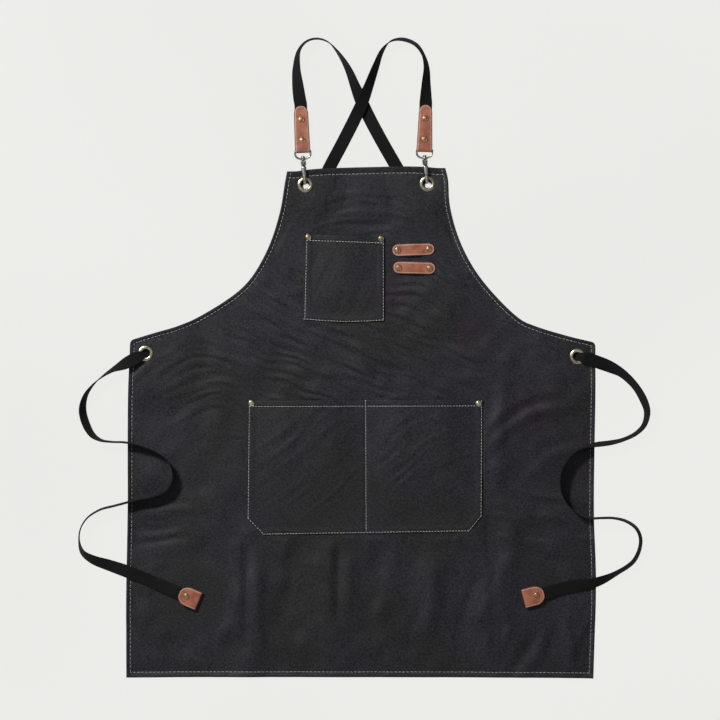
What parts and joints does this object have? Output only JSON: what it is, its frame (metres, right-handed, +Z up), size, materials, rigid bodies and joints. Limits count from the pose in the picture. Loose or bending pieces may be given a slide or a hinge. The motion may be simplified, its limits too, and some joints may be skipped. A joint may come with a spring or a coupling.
{
  "type": "cross-back work apron",
  "caption": "Canvas bib apron with patch pockets, leather tool loops, crossed webbing shoulder straps on snap hooks, and long waist ties ending in leather tips.",
  "frame": {"origin": "on the surface that the apron lies on, under the middle of its overall length and width", "axes": "+X to the right seen from above, +Y along the apron from the skirt to the bib, +Z up out of its front face"},
  "size_m": [0.8564, 0.9614, 0.0232],
  "materials": {
    "canvas": "matt charcoal cotton canvas with off-white topstitching",
    "webbing": "black ribbed cotton webbing",
    "leather": "smooth tan leather with pale burnished edges",
    "hardware": "light antique brass plate",
    "rivets": "antique brass double-cap rivets"
  },
  "bodies": {
    "apron": {"apron_panel": "canvas", "chest_pocket": "canvas", "front_pocket": "canvas", "strap_left": "webbing", "strap_right": "webbing", "tool_loop_upper": "leather", "tool_loop_lower": "leather", "strap_tab_left": "leather", "strap_tab_right": "leather", "tie_tip_left": "leather", "tie_tip_right": "leather", "bib_eyelet_left": "hardware", "bib_eyelet_right": "hardware", "waist_eyelet_left": "hardware", "waist_eyelet_right": "hardware", "snap_eye_left": "hardware", "snap_eye_right": "hardware", "snap_hook_left": "hardware", "snap_hook_right": "hardware", "chest_pocket_rivet_left": "rivets", "chest_pocket_rivet_right": "rivets", "front_pocket_rivet_left": "rivets", "front_pocket_rivet_right": "rivets", "tool_loop_upper_rivet_left": "rivets", "tool_loop_upper_rivet_right": "rivets", "tool_loop_lower_rivet_left": "rivets", "tool_loop_lower_rivet_right": "rivets", "strap_tab_rivet_left_lower": "rivets", "strap_tab_rivet_left_upper": "rivets", "strap_tab_rivet_right_lower": "rivets", "strap_tab_rivet_right_upper": "rivets", "tie_tip_rivet_left": "rivets", "tie_tip_rivet_right": "rivets"},
    "gate_left": {"snap_gate_left": "hardware"},
    "gate_right": {"snap_gate_right": "hardware"}
  },
  "joints": [
    {"name": "gate_left_hinge", "type": "hinge", "parent": "apron", "child": "gate_left", "pos_m": [-0.08855, 0.2919, 0.0102], "axis": [0.9972, 0.075, 0], "range_deg": [0, 25], "stiffness_Nm_per_rad": 0.012, "springref_deg": -11.46},
    {"name": "gate_right_hinge", "type": "hinge", "parent": "apron", "child": "gate_right", "pos_m": [0.09356, 0.29333, 0.0102], "axis": [0.9949, 0.1011, 0], "range_deg": [0, 25], "stiffness_Nm_per_rad": 0.012, "springref_deg": -11.46}
  ]
}
